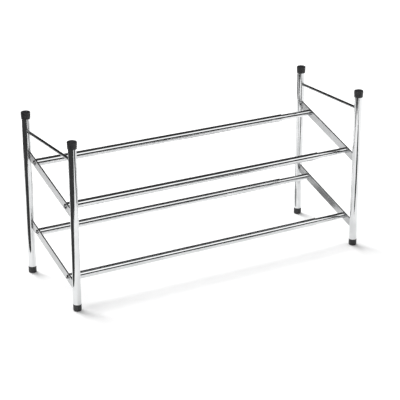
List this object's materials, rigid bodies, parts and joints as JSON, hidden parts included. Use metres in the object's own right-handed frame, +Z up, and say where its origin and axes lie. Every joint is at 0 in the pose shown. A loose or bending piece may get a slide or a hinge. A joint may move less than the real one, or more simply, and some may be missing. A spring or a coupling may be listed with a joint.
{
  "type": "tiered shoe rack",
  "caption": "Extending tiered shoe rack with chromed end frames, telescoping shelf tubes, sloping side straps and black caps and feet.",
  "frame": {"origin": "on the floor below the middle of the rack, as it stands pulled out a little from shut", "axes": "+X from the left end frame to the right one, along the shelf tubes; +Y to the rear; +Z up"},
  "size_m": [0.7042, 0.2422, 0.36],
  "materials": {
    "chromed_tube": "bright chrome plate",
    "chromed_strap": "chrome plate over rolled flat bar, slightly softer than the tubes",
    "chromed_wire": "chrome plate over drawn wire",
    "chromed_screw": "bright plated screw head",
    "zinc_plated_steel": "zinc plate, hidden",
    "black_plastic": "matt moulded plastic with a fine texture",
    "black_nylon": "matt nylon",
    "natural_nylon": "natural nylon, hidden"
  },
  "bodies": {
    "left_frame": {"left_front_post": "chromed_tube", "left_rear_post": "chromed_tube", "left_front_cap": "black_plastic", "left_rear_cap": "black_plastic", "left_front_foot": "black_plastic", "left_rear_foot": "black_plastic", "left_top_wire": "chromed_wire", "left_upper_strap": "chromed_strap", "left_lower_strap": "chromed_strap", "upper_front_outer_tube": "chromed_tube", "upper_rear_outer_tube": "chromed_tube", "lower_front_outer_tube": "chromed_tube", "lower_rear_outer_tube": "chromed_tube", "upper_front_mouth_bush": "black_nylon", "upper_rear_mouth_bush": "black_nylon", "lower_front_mouth_bush": "black_nylon", "lower_rear_mouth_bush": "black_nylon", "outer_tube_inserts": "zinc_plated_steel", "left_screws": "chromed_screw"},
    "right_frame": {"right_front_post": "chromed_tube", "right_rear_post": "chromed_tube", "right_front_cap": "black_plastic", "right_rear_cap": "black_plastic", "right_front_foot": "black_plastic", "right_rear_foot": "black_plastic", "right_top_wire": "chromed_wire", "right_upper_strap": "chromed_strap", "right_lower_strap": "chromed_strap", "upper_front_inner_tube": "chromed_tube", "upper_rear_inner_tube": "chromed_tube", "lower_front_inner_tube": "chromed_tube", "lower_rear_inner_tube": "chromed_tube", "upper_front_guide_plug": "natural_nylon", "upper_rear_guide_plug": "natural_nylon", "lower_front_guide_plug": "natural_nylon", "lower_rear_guide_plug": "natural_nylon", "inner_tube_inserts": "zinc_plated_steel", "right_screws": "chromed_screw"}
  },
  "joints": [
    {"name": "rack_extension", "type": "slide", "parent": "left_frame", "child": "right_frame", "axis": [1, 0, 0], "range_m": [-0.076, 0.458]}
  ]
}
